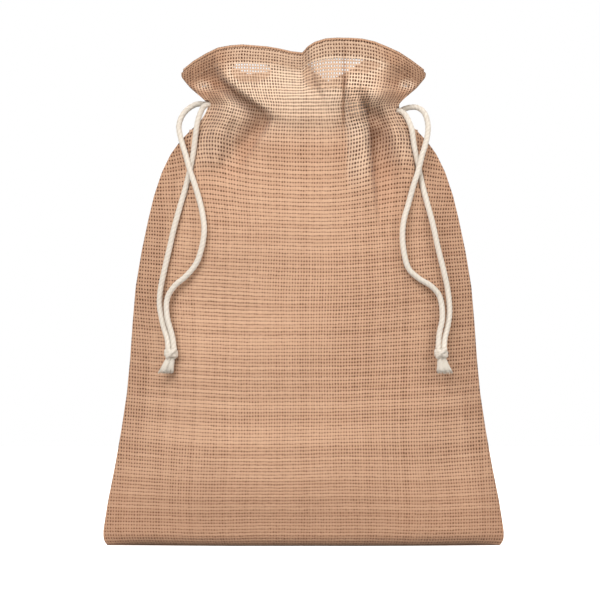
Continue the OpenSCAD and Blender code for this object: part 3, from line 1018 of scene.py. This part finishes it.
def make_hem(face, side, materials):
    us = u_range(side, 0.0, HEM_REACH, 90)
    outer, inner = hem_turn(face, us, HEM_T), hem_turn(face, us, 0.0)
    rows = outer.shape[1]
    up = np.broadcast_to(np.linspace(0, HEM_W + 3, rows), outer.shape[:2])
    across = us[:, None] * column_spread(TIP_Z) + 0 * up
    weave = np.stack([across, up, 0 * up], -1)
    marks = np.zeros_like(weave)
    marks[..., 0] = 0.5
    piece = shell(f"{face}_hem_{side}", outer, inner, weave, marks, materials["jute_hem"],
                  flip=face == "back")
    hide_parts(f"{face}_top_hem")
    return gather(piece)


STRIP_HALF_W, CHANNEL_GAP, STRIP_T = 43.0, 4.6, 0.6
STRIP_ROWS = ((BAND_LOW - 4, 0), (BAND_LOW - 2, 0.5), (BAND_LOW, 1), (BAND_LOW + 4, 1),
              (BAND_HIGH - 4, 1), (BAND_HIGH, 1), (BAND_HIGH + 2, 0.5), (BAND_HIGH + 4, 0))


def make_channel_strip(face, side, materials):
    """The strip inside the neck that the cords run behind, sewn along its top and bottom."""
    xs = u_range(side, 0.0, STRIP_HALF_W, 48)
    cord_y = np.interp(np.abs(xs), (2, 10, 18), LOOP_SHARES) * loop_depth(side)
    rows = []
    for z, share in STRIP_ROWS:
        z_flat = np.full_like(xs, z)
        us = xs / half_width(z)
        middle = wall(face, us, z_flat, 0.0)
        depth = np.abs(middle[:, 1])
        behind_cord = depth - (cord_y - CORD_D / 2 - STRIP_T)
        gap = np.maximum(CHANNEL_GAP, behind_cord - CLOTH_T - 0.1)
        inset = np.minimum(CLOTH_T + 0.1 + gap * share, depth - 0.7)
        rows.append(middle - np.stack([0 * xs, FACES[face] * inset, 0 * xs], -1))
    outer = np.stack(rows, 1)
    inner = outer - np.array([0, FACES[face] * STRIP_T, 0])
    weave = np.stack([np.broadcast_to(xs[:, None], outer.shape[:2]), outer[..., 2],
                      np.zeros(outer.shape[:2])], -1)
    piece = shell(f"{face}_channel_{side}", outer, inner, weave, np.zeros_like(weave),
                  materials["jute_inside"], flip=face == "back")
    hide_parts(f"{face}_channel_strip")
    return gather(piece)


def make_allowance(side, materials):
    """The pair of raw cut edges turned inside along a side seam, with a slightly uneven edge."""
    insets = np.linspace(1.6, ALLOWANCE_W, 10)
    heights = np.linspace(10, 248, 150)
    inset, z = np.meshgrid(insets, heights, indexing="ij")
    inset = inset + (inset / ALLOWANCE_W) * 0.5 * rolling(inset * 0, z, 9, 21)
    u = SIDES[side] * (1 - inset / half_width(z))
    order = slice(None, None, -1) if side == "right" else slice(None)
    u, z = u[order], z[order]
    outer = wall("front", u, z, CLOTH_T + 0.15)
    inner = wall("front", u, z, CLOTH_T + 0.75)
    weave = np.stack([u * column_spread(z), z, 0 * z], -1)
    marks = np.stack([0 * z + 0.4, 0 * z, 0 * z], -1)
    piece = shell(f"{side}_allowance", outer, inner, weave, marks, materials["jute_inside"],
                  flip=False)
    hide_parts(f"{side}_seam_allowance")
    return gather(piece)


# ---- Thread ----

THREAD_R = 0.27
STITCH, STITCH_GAP = 2.5, 0.9
THREAD_START = 0.004


def stitches(path, lift):
    """Small bowed stitches along a path that lies on the cloth."""
    parts = []
    per = round((STITCH + STITCH_GAP) / 0.2)
    long = round(STITCH / 0.2)
    path = resample(path, 0.2)
    for start in range(0, len(path) - long, per):
        piece = path[start:start + long:2]
        bow = np.sin(np.linspace(0, math.pi, len(piece)))[:, None]
        raised_path = piece + np.asarray(lift) * (bow * 1.3 - 0.6)
        radii = THREAD_R * (0.55 + 0.45 * np.sqrt(bow[:, 0]))
        parts.append(tube_parts(raised_path, radii, 6, plies=2, twist=1.2, groove=0.1))
    return parts


def sewn(name, parts, materials, node):
    """A piece of thread that stands for a node."""
    piece = join_parts(name, parts, materials["sewing_thread"])
    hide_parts(node)
    return gather(piece)


def make_stitching(face, side, materials):
    lift = np.array([0, FACES[face] * 0.3, 0])
    us = u_range(side, THREAD_START, HEM_THREAD_REACH, 60)
    z_flat = down_from_rim(face, us, HEM_W - 1)
    hem_thread = sewn(f"{face}_hem_thread_{side}", stitches(wall(face, us, z_flat, 0.0), lift),
                      materials, f"{face}_hem_stitching")
    us = u_range(side, THREAD_START, CHANNEL_THREAD_REACH, 60)
    rows = [wall(face, us, np.full_like(us, z), 0.0) for z in (BAND_LOW - 3, BAND_HIGH + 3)]
    parts = [part for row in rows for part in stitches(row, lift)]
    channel_thread = sewn(f"{face}_channel_thread_{side}", parts, materials,
                          f"{face}_channel_stitching")
    return [hem_thread, channel_thread]


def make_side_stitching(side, materials):
    """The lock stitches that close a side seam, seen on its fold."""
    parts = []
    for low, high in ((6, 252), (TIP_Z - 8, TIP_Z - 1.5)):
        zs = np.linspace(low, high, 60)
        line = np.stack([SIDES[side] * (half_width(zs) - 0.35), 0 * zs, zs], -1)
        parts += stitches(line, (SIDES[side] * 0.15, 0, 0))
    return sewn(f"{side}_side_thread", parts, materials, f"{side}_side_stitching")


def make_tacks(side, materials):
    """Close satin stitches over the seam just below and just above the cord opening."""
    low, high = box_of(f"{side}_opening_tacks")
    parts = []
    for z in (low[2] + 1.5, high[2] - 1.5):
        x = SIDES[side] * (half_width(z) - 1.9)
        for step in np.linspace(-1.5, 1.5, 6):
            angle = np.linspace(0, 2 * math.pi, 17)[:-1]
            ring = np.stack([x + 1.2 * np.cos(angle), 1.6 * np.sin(angle),
                             z + step + 0 * angle], -1)
            parts.append(tube_parts(ring, np.full(len(ring), THREAD_R), 6, plies=2, twist=1.2))
    piece = join_parts(f"{side}_tacks", parts, materials["sewing_thread"])
    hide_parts(f"{side}_opening_tacks")
    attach(piece, f"{side}_neck_edge")


# ---- Build ----

make_camera()
make_light()
make_floor()
finishes = make_materials()
random_draws = np.random.default_rng(11)
for side_name in SIDES:
    end_pieces = [make_knot(side_name, finishes), make_cut_ends(side_name, finishes, random_draws)]
    for strand_end in ("front", "back"):
        make_strand(f"{side_name}_{strand_end}_strand", finishes)
    make_channel_cords(side_name, finishes)
for side_name in SIDES:
    seam = [make_allowance(side_name, finishes), make_side_stitching(side_name, finishes)]
    for face_name in FACES:
        sewn_on = [make_hem(face_name, side_name, finishes),
                   make_channel_strip(face_name, side_name, finishes),
                   *make_stitching(face_name, side_name, finishes)]
        make_panel(face_name, side_name, finishes, sewn_on + seam * (face_name == "front"))
    make_tacks(side_name, finishes)
